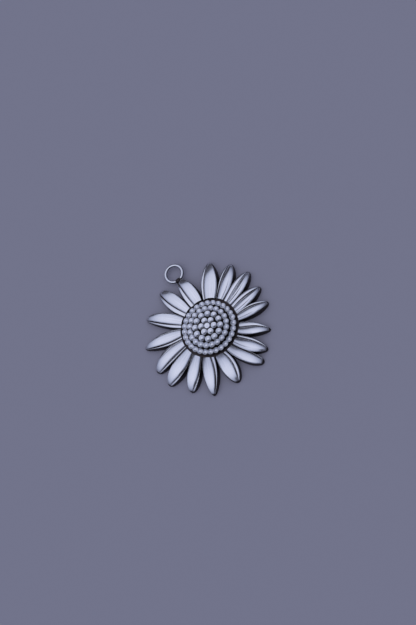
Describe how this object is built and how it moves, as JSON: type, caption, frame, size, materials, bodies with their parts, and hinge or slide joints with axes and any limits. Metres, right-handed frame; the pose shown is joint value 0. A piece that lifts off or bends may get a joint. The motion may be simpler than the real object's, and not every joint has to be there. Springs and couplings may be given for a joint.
{
  "type": "sunflower pendant",
  "caption": "Solid cast sunflower pendant: grooved petals round a raised, beaded seed head, flat back, and a closed wire ring at one petal's tip to hang it by.",
  "frame": {"origin": "middle of the seed head on the flat back", "axes": "+Z out of the flower's front, +Y from the middle towards the hanging ring"},
  "size_m": [0.027, 0.0298, 0.003],
  "materials": {
    "silver_metal": "polished silver-coloured metal with fine tumbling marks, darkened in the channel, between the seeds and in the grooves"
  },
  "bodies": {
    "root": {"flower_casting": "silver_metal"}
  },
  "joints": []
}
